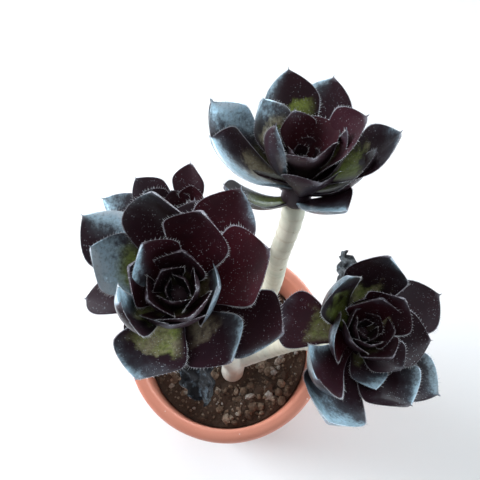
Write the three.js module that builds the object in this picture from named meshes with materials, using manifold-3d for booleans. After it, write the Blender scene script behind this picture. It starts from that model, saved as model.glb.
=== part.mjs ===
// A black-leaved aeonium: four leaf rosettes on one bare branching stem, growing in gritty soil
// in a terracotta-coloured pot. Millimetres, +Z up; the origin is the centre of the pot's underside.
import * as THREE from "three";
import { mergeVertices } from "three/addons/utils/BufferGeometryUtils.js";
import Module from "manifold-3d";

const wasm = await Module();
wasm.setup();

// Driving dimensions
const FIT_GAP = 0.3; // clearance between pieces that touch
const POT_HEIGHT = 115;
const RIM_RADIUS = 65; // outside of the rim's skirt
const MOUTH_RADIUS = 57; // inside edge of the mouth
const SKIRT_DEPTH = 16;
const WALL = 2.2;
const FLOOR = 4;
const FOOT_RADIUS = 45;
const POT_SIDES = 36;
const DRAIN = { count: 6, radius: 4.5, circle: 28, sides: 12 };
const SOIL_LEVEL = 90;
const SOIL_SIDES = 30;
const CHUNK_COUNT = 44;
const TRUNK = { x: 3, y: -16, foot: 50, radius: 8.4 };
const GOLDEN_ANGLE = 137.508; // degrees from each leaf to the next round the spiral
const LEAF_THICK = { foot: 3.4, tip: 1.3 }; // below the middle of the upper face
const FULL_WIDTH = 18; // narrower leaves are thinner in step with their width
const FINE_WIDTH = 19; // wider leaves get more faces
const SCAR_SWELL = 0.05; // share of its radius that a stem swells at a leaf scar
const CHUNK_SINK = 0.8; // depth of a chunk's middle below the soil's top
const FLAT_SLACK = 0.15; // kept off the flats of the pot's wall by the soil, besides the gap

// A small seeded generator of numbers from 0 to 1
function seeded(seed) {
  let state = seed;
  return () => {
    state = (state * 16807) % 2147483647;
    return state / 2147483647;
  };
}

const radians = THREE.MathUtils.degToRad;
const lerp = THREE.MathUtils.lerp;

// Solids: a closed geometry becomes a manifold, and a manifold becomes a geometry
function solid(geometry) {
  const bare = new THREE.BufferGeometry().setAttribute(
    "position",
    geometry.getAttribute("position"),
  );
  if (geometry.index) bare.setIndex(geometry.index);
  const merged = mergeVertices(bare, 1e-4);
  const corners = merged.index.array;
  const kept = [];
  for (let i = 0; i < corners.length; i += 3) {
    const [a, b, c] = [corners[i], corners[i + 1], corners[i + 2]];
    if (a !== b && b !== c && c !== a) kept.push(a, b, c);
  }
  const mesh = new wasm.Mesh({
    numProp: 3,
    vertProperties: merged.attributes.position.array,
    triVerts: new Uint32Array(kept),
  });
  return new wasm.Manifold(mesh);
}

function geometryOf(manifold) {
  const mesh = manifold.getMesh();
  return new THREE.BufferGeometry()
    .setAttribute("position", new THREE.BufferAttribute(mesh.vertProperties, 3))
    .setIndex(new THREE.BufferAttribute(mesh.triVerts, 1));
}

// A closed skin over rings of points: each ring has as many points as the first, run
// anticlockwise seen from the last ring, and both ends close on their middle points.
function skin(rings) {
  const count = rings[0].length;
  const points = rings.flat();
  const faces = [];
  for (let row = 0; row + 1 < rings.length; row++)
    for (let i = 0; i < count; i++) {
      const here = row * count + i;
      const next = row * count + ((i + 1) % count);
      faces.push(here, next, here + count, next, next + count, here + count);
    }
  const middle = (ring) =>
    ring.reduce((sum, p) => sum.add(p), new THREE.Vector3()).divideScalar(count);
  const first = points.push(middle(rings[0])) - 1;
  const last = points.push(middle(rings.at(-1))) - 1;
  const top = (rings.length - 1) * count;
  for (let i = 0; i < count; i++) {
    const next = (i + 1) % count;
    faces.push(first, next, i, last, top + i, top + next);
  }
  const geometry = new THREE.BufferGeometry().setFromPoints(points);
  geometry.setIndex(faces);
  return geometry;
}

// A turned piece: a profile of [radius, height] pairs, closed on the axis
function turned(profile, sides) {
  const points = profile.map(([r, z]) => new THREE.Vector2(r, z));
  return new THREE.LatheGeometry(points, sides).rotateX(Math.PI / 2);
}

// Pot: tapered wall, a rim that turns out over a hanging skirt, and drain holes in a flat floor
const wallRadius = (z) =>
  lerp(FOOT_RADIUS - WALL, MOUTH_RADIUS, (z - FLOOR) / (POT_HEIGHT - FLOOR));

function makePot() {
  const top = POT_HEIGHT;
  const skirtFoot = top - SKIRT_DEPTH;
  const profile = [
    [0, 0],
    [FOOT_RADIUS - 1.5, 0],
    [FOOT_RADIUS, 1.5],
    [wallRadius(skirtFoot) + WALL, skirtFoot],
    [wallRadius(top - 4) + WALL, top - 3],
    [RIM_RADIUS - WALL, top - 3],
    [RIM_RADIUS - WALL - 1, skirtFoot],
    [RIM_RADIUS - 1.2, skirtFoot],
    [RIM_RADIUS - 0.3, top - 4],
    [RIM_RADIUS - 0.6, top - 2],
    [RIM_RADIUS - 1.8, top - 0.6],
    [RIM_RADIUS - 3.6, top],
    [MOUTH_RADIUS + 2, top],
    [MOUTH_RADIUS + 0.6, top - 0.7],
    [MOUTH_RADIUS, top - 2.4],
    [wallRadius(FLOOR), FLOOR],
    [0, FLOOR],
  ];
  let pot = solid(turned(profile, POT_SIDES));
  for (let i = 0; i < DRAIN.count; i++) {
    const angle = (i / DRAIN.count) * 2 * Math.PI;
    const drill = new THREE.CylinderGeometry(DRAIN.radius, DRAIN.radius, FLOOR * 4, DRAIN.sides)
      .rotateX(Math.PI / 2)
      .translate(DRAIN.circle * Math.cos(angle), DRAIN.circle * Math.sin(angle), 0);
    pot = pot.subtract(solid(drill));
  }
  return pot;
}

// Soil: a plug with a gently uneven top and coarse grit half sunk in it, with a hole for the trunk
const soilHeight = (x, y) =>
  SOIL_LEVEL + 1.6 * Math.sin(x * 0.11 + 1) * Math.cos(y * 0.13) + 0.9 * Math.sin(x * 0.31 - y * 0.27);

function makeSoil() {
  const foot = FLOOR + FIT_GAP;
  const ringAt = (radius, height) =>
    Array.from({ length: SOIL_SIDES }, (_, i) => {
      const angle = (i / SOIL_SIDES) * 2 * Math.PI;
      const [x, y] = [radius * Math.cos(angle), radius * Math.sin(angle)];
      return new THREE.Vector3(x, y, height ?? soilHeight(x, y));
    });
  // The pot's wall is a polygon, so its flats lie a little inside its corners
  const clear = (z) => (wallRadius(z) - FIT_GAP) * Math.cos(Math.PI / POT_SIDES) - FLAT_SLACK;
  const edge = clear(SOIL_LEVEL - 3);
  const rings = [ringAt(clear(foot), foot), ringAt(edge)];
  for (const share of [0.8, 0.58, 0.36, 0.16]) rings.push(ringAt(edge * share));
  let soil = solid(skin(rings));

  const random = seeded(41);
  for (let i = 0; i < CHUNK_COUNT; i++) {
    const size = lerp(2.2, 4.6, random() ** 1.5);
    const angle = i * radians(GOLDEN_ANGLE);
    const reach = (edge - 6) * Math.sqrt((i + 0.5) / CHUNK_COUNT);
    const [x, y] = [reach * Math.cos(angle), reach * Math.sin(angle)];
    if (Math.hypot(x - TRUNK.x, y - TRUNK.y) < TRUNK.radius + size) continue;
    const chunk = new THREE.IcosahedronGeometry(size, 0)
      .scale(1, lerp(0.6, 1, random()), lerp(0.5, 0.8, random()))
      .rotateZ(random() * Math.PI)
      .translate(x, y, soilHeight(x, y) - CHUNK_SINK);
    soil = soil.add(solid(chunk));
  }
  const hole = new THREE.CylinderGeometry(1, 1, 80, 20)
    .scale(TRUNK.radius + FIT_GAP * 1.5, 1, TRUNK.radius + FIT_GAP * 1.5)
    .rotateX(Math.PI / 2)
    .translate(TRUNK.x, TRUNK.y, TRUNK.foot - FIT_GAP + 40);
  return soil.subtract(solid(hole));
}

// Rosette frames: the foot of each head's core, and the lean of its axis in degrees
// (how far, and towards which compass direction, anticlockwise from +X)
const HEADS = {
  left: { foot: [-15, -23, 256.5], lean: 6, toward: 250, neck: 5.4, core: 24 },
  top: { foot: [34, 31, 245.5], lean: 24, toward: 76, neck: 5.6, core: 26 },
  right: { foot: [59.5, -28, 213], lean: 12, toward: 0, neck: 5.2, core: 20 },
  back: { foot: [-18.5, 30, 206], lean: 14, toward: 130, neck: 4.4, core: 17 },
};

function frameOf(head) {
  const toward = radians(head.toward);
  const hinge = new THREE.Vector3(-Math.sin(toward), Math.cos(toward), 0);
  return new THREE.Matrix4()
    .makeRotationAxis(hinge, radians(head.lean))
    .setPosition(new THREE.Vector3(...head.foot));
}

// Stem: a trunk that forks low down into one bare branch for each head. A branch is a
// smooth curve through a few places, with raised leaf scars along it.
const FORK = [4, -14, 108];
const BRANCHES = {
  left: { through: [FORK, [-3, -15, 150], [-13, -20, 205]], thick: [6.6, 5.6] },
  top: { through: [FORK, [17, 8, 122], [27, 22, 150], [29, 21, 210]], thick: [5.6, 5.0] },
  right: { through: [FORK, [29, -12, 138], [44, -19, 182]], thick: [5.4, 4.8] },
  back: { through: [FORK, [-6, 4, 140], [-15, 20, 175]], thick: [5.0, 4.2] },
};
const STEM_SIDES = 8;
const SCAR_SPACING = 7.5;

function limb(points, thickAt, steps) {
  const curve = new THREE.CatmullRomCurve3(points, false, "centripetal");
  const frames = curve.computeFrenetFrames(steps, false);
  const length = curve.getLength();
  const rings = [];
  for (let k = 0; k <= steps; k++) {
    const share = k / steps;
    const scar = 0.5 - 0.5 * Math.cos((share * length * 2 * Math.PI) / SCAR_SPACING);
    const radius = thickAt(share) * (1 + SCAR_SWELL * scar);
    const centre = curve.getPointAt(share);
    rings.push(
      Array.from({ length: STEM_SIDES }, (_, i) => {
        const angle = (i / STEM_SIDES) * 2 * Math.PI;
        return centre
          .clone()
          .addScaledVector(frames.normals[k], radius * Math.cos(angle))
          .addScaledVector(frames.binormals[k], radius * Math.sin(angle));
      }),
    );
  }
  return solid(skin(rings));
}

function makeStem() {
  const trunkLine = [
    [TRUNK.x, TRUNK.y, TRUNK.foot],
    [TRUNK.x, TRUNK.y, SOIL_LEVEL],
    FORK,
    [1, -14, 122],
  ].map((p) => new THREE.Vector3(...p));
  let stem = limb(trunkLine, (s) => TRUNK.radius * lerp(0.94, 0.8, s), 10);
  for (const [name, branch] of Object.entries(BRANCHES)) {
    const head = HEADS[name];
    const frame = frameOf(head);
    const neck = new THREE.Vector3(0, 0, -12).applyMatrix4(frame);
    const tip = new THREE.Vector3(0, 0, 0).applyMatrix4(frame);
    const line = [...branch.through.map((p) => new THREE.Vector3(...p)), neck, tip];
    const [thick, thin] = branch.thick;
    const thickness = (s) => lerp(thick, thin, s) + (head.neck - thin) * s ** 6;
    stem = stem.add(limb(line, thickness, 18));
  }
  return stem;
}

// Leaves. azimuth is the compass direction the leaf points in, anticlockwise from +X, and
// rise its mean angle above the head's level; curl is how far it turns upwards along its
// length, twist how far its blade is turned about its own length, all in degrees. foot is
// where it grows from the core, as a share of the core's height: steeper leaves sit higher.
// cup is how deep its trough is.
const leaf = (azimuth, rise, length, width, curl, twist = 0, foot = null, cup = 0.3) => ({
  azimuth, rise, length, width, curl, twist,
  foot: foot ?? 0.17 + 0.008 * Math.max(0, rise),
  cup,
});

const PLACED_LEAVES = {
  left: [
    leaf(141, 19, 49, 26, 10, -3),
    leaf(155, 38, 41, 25, 56, 6),
    leaf(174, -16, 43, 17, -50, 12),
    leaf(216, 3, 24, 18, 14),
    leaf(246, 21, 34, 30, 22, 10, 0.42),
    leaf(308, 30, 35, 27, 30, 6, 0.3),
    leaf(337, 26, 46, 30, 62, -8),
    leaf(20, 36, 43, 33, 50, -8),
    leaf(60, 20, 48, 27, 28, 10),
    leaf(65, 52, 39, 27, 52, 0, 0.72),
    leaf(103, 52, 50, 29, 66, -26, 0.4),
    leaf(220, 68, 46, 20, 80, -15),
    leaf(128, 61, 30, 22, 18, 8),
    leaf(359, 53, 23, 28, 58, -8),
    leaf(268, 60, 26, 24, 43),
    leaf(85, 4, 40, 24, 6),
    leaf(281, -30, 41, 18, -16, 50, 0.24),
  ],
  top: [
    leaf(171, 40, 54, 32, 56, -30),
    leaf(191, 34, 48, 30, 33, -19),
    leaf(105, 51, 47, 26, 12, -6),
    leaf(70, 38, 52, 27, 14),
    leaf(340, 66, 48, 31, -14, 30, 0.35),
    leaf(346, 45, 49, 31, 42, 15),
    leaf(334, 50, 44, 19, 70, 6, 0.35),
    leaf(299, 31, 34, 25, 2, 14, 0.12, 0.4),
    leaf(202, 24, 39, 19, 66, 6, 0.12, 0.4),
    leaf(279, 45, 26, 26, 12, 0, 0.38, 0.5),
    leaf(146, 54, 38, 27, 46, -8),
    leaf(216, 60, 40, 14, 84, 2),
    leaf(326, 68, 39, 14, 72, 44, 0.5),
    leaf(267, 52, 32, 26, -32, 19, 0.6, 0.5),
    leaf(117, 62, 23, 21, 26, 12, 0.85),
    leaf(15, 64, 26, 33, -21, -7),
    leaf(6, 60, 28, 21, 31, -5),
    leaf(40, 8, 38, 24, 4),
    leaf(124, 2, 36, 22, 4),
  ],
  right: [
    leaf(84, 58, 46, 29, 80, -9),
    leaf(27, 10, 47, 28, 2, 2),
    leaf(355, 27, 32, 28, 18, -10),
    leaf(323, 16, 41, 27, 0, -2),
    leaf(298, 27, 38, 31, 48, 4),
    leaf(221, 43, 57, 25, 70, -10, null, 0.4),
    leaf(240, 31, 55, 33, 60, -7),
    leaf(160, -13, 33, 29, -36, -14),
    leaf(150, 64, 50, 23, 69, -31),
    leaf(91, 8, 40, 17, -10, 30),
    leaf(281, 25, 24, 18, 5, 2),
    leaf(40, 66, 30, 25, 22, 10),
    leaf(76, 72, 25, 27, 28, 8),
    leaf(194, 52, 26, 22, 80, -29),
    leaf(311, 40, 25, 21, 8, 2),
  ],
  back: [
    leaf(76, 46, 32, 20, 20, -20),
    leaf(62, 58, 22, 14, 46, 16),
    leaf(133, 20, 39, 20, 14, -2),
    leaf(157, 14, 47, 20, 17),
    leaf(214, 24, 30, 20, 20),
    leaf(20, 22, 32, 20, 20),
    leaf(330, 12, 30, 18, 14),
    leaf(262, 14, 28, 18, 14),
    leaf(150, 48, 27, 18, 20),
  ],
};

// The young leaves in the heart of a head, by the golden angle, closing up to the middle
const HEARTS = {
  left: { first: 160, count: 9, rise: [60, 80], length: [28, 10], width: [24, 9] },
  top: { first: 20, count: 8, rise: [54, 78], length: [20, 9], width: [20, 8] },
  right: { first: 300, count: 11, rise: [56, 80], length: [23, 9], width: [20, 7] },
  back: { first: 110, count: 7, rise: [56, 80], length: [19, 7], width: [15, 6] },
};

const HEART_CURL = 28;
const HEART_CUP = 0.4;

function heartLeaves({ first, count, rise, length, width }) {
  return Array.from({ length: count }, (_, i) => {
    const share = i / (count - 1);
    const at = ([from, to]) => lerp(from, to, share);
    return {
      ...leaf(first + i * GOLDEN_ANGLE, at(rise), at(length), at(width), HEART_CURL),
      cup: HEART_CUP,
    };
  });
}

// Half-width of a blade as a share of its greatest: a narrow foot, widest at SHOULDER of its
// length, then a blunt-angled end that closes on a small point
const SHOULDER = 0.7;
function outline(u) {
  if (u <= SHOULDER) return 0.3 + 0.7 * THREE.MathUtils.smoothstep(u / SHOULDER, 0, 1);
  const t = (u - SHOULDER) / (1 - SHOULDER);
  return Math.max(0, 1 - t ** 1.7) ** 0.9;
}

function bladeGeometry(shape, coreHeight, fine) {
  const start = radians(shape.rise - shape.curl / 2);
  const turn = radians(shape.curl || 1);
  const azimuth = radians(shape.azimuth);
  const twist = radians(shape.twist);
  const outward = new THREE.Vector3(Math.cos(azimuth), Math.sin(azimuth), 0);
  const side = new THREE.Vector3(-Math.sin(azimuth), Math.cos(azimuth), 0);
  const axis = new THREE.Vector3(0, 0, 1);
  const footHeight = coreHeight * shape.foot;
  const footReach = 4.6 - 0.035 * Math.max(0, shape.rise);
  const rows = fine ? [0, 0.3, 0.56, 0.78, 0.93] : [0, 0.4, 0.72, 0.92];
  // Round the section: share of the half-width, and which face (1 upper, 0 edge, -1 lower)
  const section = fine
    ? [[-1, 0], [-0.5, -1], [0.5, -1], [1, 0], [0.55, 1], [0, 1], [-0.55, 1]]
    : [[-1, 0], [-0.5, -1], [0.5, -1], [1, 0], [0, 1]];
  const place = (u, across, face) => {
    const angle = start + turn * u;
    const bend = shape.length / turn;
    const reach = footReach + bend * (Math.sin(angle) - Math.sin(start));
    const height = footHeight - bend * (Math.cos(angle) - Math.cos(start));
    const up = outward.clone().multiplyScalar(-Math.sin(angle)).addScaledVector(axis, Math.cos(angle));
    const [upright, over] = [Math.cos(twist * u), Math.sin(twist * u)];
    const right = side.clone().multiplyScalar(upright).addScaledVector(up, over);
    const normal = up.clone().multiplyScalar(upright).addScaledVector(side, -over);
    const half = (shape.width / 2) * outline(u);
    const fullness = Math.min(1, shape.width / FULL_WIDTH);
    const thick = lerp(LEAF_THICK.foot, LEAF_THICK.tip, u) * fullness;
    const lift = shape.cup * half * across ** 2 + (face > 0 ? 0 : face < 0 ? -thick : -thick * 0.35);
    return new THREE.Vector3()
      .addScaledVector(outward, reach)
      .addScaledVector(axis, height)
      .addScaledVector(right, half * across)
      .addScaledVector(normal, lift);
  };
  const rings = rows.map((u) => section.map(([across, face]) => place(u, across, face)));
  rings.push(section.map(([across, face]) => {
    const end = place(1, 0, 0);
    return end.addScaledVector(side, across * 0.4).addScaledVector(axis, face * 0.2);
  }));
  return skin(rings);
}

// Small pockets shut in where leaves cross count as bodies of negative volume: they are filled
const filled = (manifold) =>
  manifold.decompose().filter((body) => body.volume() > 0).reduce((a, b) => a.add(b));

function makeHead(name) {
  const head = HEADS[name];
  const tall = head.core;
  const core = turned(
    [[0, FIT_GAP], [head.neck, FIT_GAP], [head.neck + 1.6, 3], [head.neck + 1, tall * 0.45],
      [4.4, tall * 0.85], [0, tall * 0.96]],
    12,
  );
  let rosette = solid(core);
  for (const shape of [...PLACED_LEAVES[name], ...heartLeaves(HEARTS[name])])
    rosette = rosette.add(solid(bladeGeometry(shape, tall, shape.width > FINE_WIDTH)));
  return filled(rosette);
}

// The plant in its pot
const finish = (color, roughness, metalness = 0) =>
  new THREE.MeshStandardMaterial({ color, roughness, metalness });
const POT_FINISH = finish("#c9725a", 0.5);
const SOIL_FINISH = finish("#4a3a30", 0.95);
const STEM_FINISH = finish("#c9c2a8", 0.75);
const LEAF_FINISH = finish("#2a161c", 0.35);

function named(name, manifold, material, matrix = new THREE.Matrix4()) {
  const mesh = new THREE.Mesh(geometryOf(manifold), material);
  mesh.name = name;
  mesh.applyMatrix4(matrix);
  return mesh;
}

const plant = new THREE.Group();
plant.add(named("pot", makePot(), POT_FINISH));
plant.add(named("soil", makeSoil(), SOIL_FINISH));
plant.add(named("stem", makeStem(), STEM_FINISH));
for (const name of Object.keys(HEADS))
  plant.add(named(`rosette_${name}`, makeHead(name), LEAF_FINISH, frameOf(HEADS[name])));

export default plant;
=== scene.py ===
"""A black-leaved aeonium in a terracotta-coloured pot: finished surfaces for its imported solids.

The sizes in the tables are millimetres, as in the solids' source, and MM is a millimetre in
metres. Every piece's object sits at the origin, with its place in its mesh.
"""

from collections import namedtuple

import bmesh
import bpy
import numpy as np
from bpy.props import FloatProperty, FloatVectorProperty, IntProperty, PointerProperty
from bpy.types import Operator, Panel, PropertyGroup
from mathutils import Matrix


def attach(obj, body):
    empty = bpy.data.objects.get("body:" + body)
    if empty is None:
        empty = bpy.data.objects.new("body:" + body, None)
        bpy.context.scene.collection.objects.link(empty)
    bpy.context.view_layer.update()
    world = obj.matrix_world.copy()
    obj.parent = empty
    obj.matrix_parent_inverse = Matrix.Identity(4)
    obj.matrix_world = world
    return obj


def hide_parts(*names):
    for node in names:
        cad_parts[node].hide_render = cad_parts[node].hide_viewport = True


bl_info = {
    "name": "Potted aeonium",
    "version": (1, 0, 0),
    "blender": (4, 5, 0),
    "location": "View3D > Sidebar > Aeonium",
    "description": "Builds a black-leaved aeonium in its pot",
    "category": "Add Mesh",
}

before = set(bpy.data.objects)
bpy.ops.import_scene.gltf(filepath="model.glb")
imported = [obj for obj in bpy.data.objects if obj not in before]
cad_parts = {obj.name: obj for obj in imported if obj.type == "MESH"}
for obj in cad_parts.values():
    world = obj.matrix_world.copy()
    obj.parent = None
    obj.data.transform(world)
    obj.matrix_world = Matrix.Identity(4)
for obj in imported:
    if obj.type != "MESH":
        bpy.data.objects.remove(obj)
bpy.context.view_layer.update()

MM = 0.001
GOLDEN_ANGLE = np.radians(137.508)

# Pot and soil
POT_HEIGHT = 115
RIM_RADIUS = 65
MOUTH_RADIUS = 57
SKIRT_DEPTH = 16
RIM_THICK = 3
WALL = 2.2
FLOOR = 4
FOOT_RADIUS = 45
DRAIN_COUNT, DRAIN_RADIUS, DRAIN_CIRCLE = 6, 4.5, 28
SHARP_DEGREES = 40  # the pot's edges that bend more stay sharp
SOIL_LEVEL = 90
FIT_GAP = 0.3  # between solids that touch
SOIL_CLEARANCE = 0.45  # between the soil's top and the pot's wall
SOIL_FOOT = 0.78  # the soil's radius at its foot, as a share of that at its top
TURNING_LINES = 2600.0  # radians of the turning lines' wave in each metre of height
GRIT_LEAST, GRIT_SPREAD = 0.8, 3.2  # size of the smallest bit, and how much the largest adds
GRIT_MARGIN = 2.6  # kept free of the middles of bits, beside the pot's wall
BED_SHADE = 0.12  # how far the bed itself is from the darkest soil to grey

# Leaf heads: the foot of each core, the lean of its axis in degrees and the direction of the
# lean anticlockwise from +X, the stem's radius where the head sits, and the core's height
HEADS = {
    "left": {"foot": (-15, -23, 256.5), "lean": 6, "toward": 250, "neck": 5.4, "core": 24},
    "top": {"foot": (34, 31, 245.5), "lean": 24, "toward": 76, "neck": 5.6, "core": 26},
    "right": {"foot": (59.5, -28, 213), "lean": 12, "toward": 0, "neck": 5.2, "core": 20},
    "back": {"foot": (-18.5, 30, 206), "lean": 14, "toward": 130, "neck": 4.4, "core": 17},
}

# Stem: the trunk's line, and the places that each branch passes on its way to its head
TRUNK_FOOT, TRUNK_RADIUS = 50, 8.4
TRUNK_X, TRUNK_Y = 3, -16
FORK = (4, -14, 108)
TRUNK_TOP = (1, -14, 122)
BRANCHES = {
    "left": {"through": [FORK, (-3, -15, 150), (-13, -20, 205)], "thick": (6.6, 5.6)},
    "top": {"through": [FORK, (17, 8, 122), (27, 22, 150), (29, 21, 210)], "thick": (5.6, 5.0)},
    "right": {"through": [FORK, (29, -12, 138), (44, -19, 182)], "thick": (5.4, 4.8)},
    "back": {"through": [FORK, (-6, 4, 140), (-15, 20, 175)], "thick": (5.0, 4.2)},
}
HEAD_RUN, HEAD_SINK = 12, 2  # a branch runs straight this far below a head, and this far into it
SCAR_SWELL = 0.05  # share of its radius that a stem swells at a leaf scar
STEM_GRAIN = 0.75  # size of the cells in which the limbs are melted together

Leaf = namedtuple("Leaf", "azimuth rise length width curl twist foot cup glow patch wax way ripe")


def leaf(azimuth, rise, length, width, curl, twist=0, foot=None, cup=0.3,
         glow=0.0, patch=0.0, wax=0.0, way=0, ripe=0.4):
    """One row of a leaf table.

    azimuth is the direction it points in and rise its mean angle above the head's level; curl
    is how far it turns upwards along its length and twist how far its blade turns about its
    own length, in degrees. foot is where it grows from, as a share of the core's height, and
    cup how deep its trough is. glow is how red light shines through it, patch how green the
    middle of its upper face is, ripe how far that green has turned straw-coloured and
    wax how pale a waxy film with a painted sheen lies on it, all from 0 to 1. The
    film and its painted sheen thicken in the direction way: 0 is towards the tip and 90
    towards the left edge, seen from the foot.
    """
    if foot is None:
        foot = 0.17 + 0.008 * max(0, rise)
    return Leaf(azimuth, rise, length, width, curl, twist, foot, cup, glow, patch, wax, way, ripe)


def columns(leaves):
    """A leaf table turned round: one array for each measure, such as the rise of every leaf."""
    return Leaf(*np.array(leaves, float).T)


PLACED_LEAVES = {
    "left": [
        leaf(141, 19, 49, 26, 10, -3, wax=0.75, way=-60),
        leaf(155, 38, 41, 25, 56, 6, patch=0.9, wax=1.0, way=30, ripe=0),
        leaf(174, -16, 43, 17, -50, 12),
        leaf(216, 3, 24, 18, 14),
        leaf(246, 21, 34, 30, 22, 10, 0.42, patch=0.75, wax=0.5, way=-10),
        leaf(308, 30, 35, 27, 30, 6, 0.3, patch=0.3, wax=0.45, way=60, ripe=0.8),
        leaf(337, 26, 46, 30, 62, -8, glow=0.2, wax=0.2, way=-60),
        leaf(20, 36, 43, 33, 50, -8, glow=0.8, wax=0.08),
        leaf(60, 20, 48, 27, 28, 10, glow=0.6, wax=0.3, way=-40),
        leaf(65, 52, 39, 27, 52, 0, 0.72, glow=0.4, wax=0.15),
        leaf(103, 52, 50, 29, 66, -26, 0.4, wax=0.35),
        leaf(220, 68, 46, 20, 80, -15, patch=0.4, wax=0.7, way=-60),
        leaf(128, 61, 30, 22, 18, 8, glow=0.3, wax=0.55, way=60),
        leaf(359, 53, 23, 28, 58, -8, glow=0.4, patch=0.3, wax=0.75),
        leaf(268, 60, 26, 24, 43, glow=0.2, patch=0.5, wax=0.35),
        leaf(85, 4, 40, 24, 6),
    ],
    "top": [
        leaf(171, 40, 54, 32, 56, -30, patch=0.2, wax=0.75, way=-30),
        leaf(191, 34, 48, 30, 33, -19, patch=0.6, wax=0.9, way=55, ripe=0.7),
        leaf(105, 51, 47, 26, 12, -6, patch=1.0, wax=0.35, way=60, ripe=0),
        leaf(70, 38, 52, 27, 14, wax=0.5, way=60),
        leaf(340, 66, 48, 31, -14, 30, 0.35, patch=0.7, glow=0.2, wax=0.1, ripe=0.2),
        leaf(346, 45, 49, 31, 42, 15, patch=0.65, wax=0.4, ripe=0.3),
        leaf(334, 50, 44, 19, 70, 6, 0.35, patch=0.3, wax=0.3),
        leaf(299, 31, 34, 25, 2, 14, 0.12, 0.4, wax=1.0, way=-60),
        leaf(202, 24, 39, 19, 66, 6, 0.12, 0.4, patch=0.5, wax=0.35, way=60, ripe=0.3),
        leaf(279, 45, 26, 26, 12, 0, 0.38, 0.5, patch=1.0, wax=0.15, ripe=0),
        leaf(146, 54, 38, 27, 46, -8, patch=0.9, wax=0.6, ripe=0.7),
        leaf(216, 60, 40, 14, 84, 2, glow=0.2, wax=0.5, way=90),
        leaf(326, 68, 39, 14, 72, 44, 0.5, glow=0.4, wax=0.35),
        leaf(267, 52, 32, 26, -32, 19, 0.6, 0.5, glow=0.3),
        leaf(117, 62, 23, 21, 26, 12, 0.85, glow=0.4, wax=0.25),
        leaf(15, 64, 26, 33, -21, -7, glow=0.4),
        leaf(6, 60, 28, 21, 31, -5, glow=0.4, wax=0.45),
        leaf(40, 8, 38, 24, 4, patch=0.5),
        leaf(124, 2, 36, 22, 4, patch=0.5),
    ],
    "right": [
        leaf(84, 58, 46, 29, 80, -9, patch=0.5, wax=0.35, way=-20),
        leaf(27, 10, 47, 28, 2, 2, patch=0.3),
        leaf(355, 27, 32, 28, 18, -10, patch=0.5, ripe=0.3),
        leaf(323, 16, 41, 27, 0, -2, wax=0.55, way=30),
        leaf(298, 27, 38, 31, 48, 4, patch=0.4, wax=0.5, way=50),
        leaf(221, 43, 57, 25, 70, -10, None, 0.4, glow=0.2, wax=0.65, way=-75),
        leaf(240, 31, 55, 33, 60, -7, wax=0.8),
        leaf(160, -13, 33, 29, -36, -14, glow=0.3, patch=0.45, wax=0.4),
        leaf(150, 64, 50, 23, 69, -31, patch=0.5, wax=0.6, ripe=0.2),
        leaf(281, 25, 24, 18, 5, 2, patch=0.3, wax=0.65),
        leaf(40, 66, 30, 25, 22, 10, glow=0.2, patch=0.4, wax=0.2),
        leaf(76, 72, 25, 27, 28, 8, glow=0.4, wax=0.3),
        leaf(194, 52, 26, 22, 80, -29, glow=0.8, wax=0.6),
        leaf(311, 40, 25, 21, 8, 2, patch=0.4, wax=0.2),
    ],
    "back": [
        leaf(76, 46, 32, 20, 20, -20, glow=0.2),
        leaf(62, 58, 22, 14, 46, 16, glow=0.5),
        leaf(133, 20, 39, 20, 14, -2, wax=0.15),
        leaf(157, 14, 47, 20, 17, wax=0.6),
        leaf(214, 24, 30, 20, 20, wax=0.4),
        leaf(20, 22, 32, 20, 20, wax=0.2),
        leaf(330, 12, 30, 18, 14, wax=0.2),
        leaf(262, 14, 28, 18, 14, wax=0.3),
        leaf(150, 48, 27, 18, 20, patch=0.4, wax=0.3),
    ],
}

# Dead leaves that hang on, dry and crumpled
DRY_LEAVES = {
    "left": [leaf(281, -30, 41, 18, -16, 50, 0.24)],
    "right": [leaf(91, 8, 40, 17, -10, 30)],
}

# The young leaves in the heart of a head, by the golden angle, closing up to the middle
HEARTS = {
    "left": {"first": 160, "count": 9, "rise": (60, 80), "length": (28, 10), "width": (24, 9)},
    "top": {"first": 20, "count": 8, "rise": (54, 78), "length": (20, 9), "width": (20, 8)},
    "right": {"first": 300, "count": 11, "rise": (56, 80), "length": (23, 9), "width": (20, 7)},
    "back": {"first": 110, "count": 7, "rise": (56, 80), "length": (19, 7), "width": (15, 6)},
}
HEART_CURL, HEART_CUP, HEART_TINT = 28, 0.4, 0.2
PLUM_RISE, PLUM_SPAN = 25, 90  # a placed leaf is redder from this rise on, over so many degrees
PLUM_YOUNG = 0.45, 0.25  # the share of that redness in the first and the last young leaf

# A leaf's blade; places along it are in leaf lengths from its foot
SHOULDER = 0.7  # where it is widest
POINT_START, TIP_REACH = 0.96, 1.035  # where its fine point is full, and where it ends
FOOT_SHARE, POINT_SHARE = 0.3, 0.055  # half-widths of its foot and point, of the greatest
BODY_END = 0.9  # where its even rows of points end, and closer ones begin
TIP_STATIONS = [0.93, 0.955, 0.975, 0.988, 1.0, 1.012, 1.024]
LEAF_THICK, TIP_THINNER = 3.4, 2.1  # its thickness at the foot, and how much less at the tip
FULL_WIDTH = 18  # a narrower leaf is thinner in step with its width
THIN_HALF = 2  # it thins where its half-width is less, as near the point
WAVE_COUNT, RIPPLE_WIDTH = 1.7, 28  # waves along an edge, and how wide a leaf has full ones
CORE_REACH, STEEP_REACH = 4.6, 0.035  # its foot from the axis, less this per degree of rise
GROOVE_DEPTH, GROOVE_WIDTH = 0.35, 0.13  # the width as a share of the blade's

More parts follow.
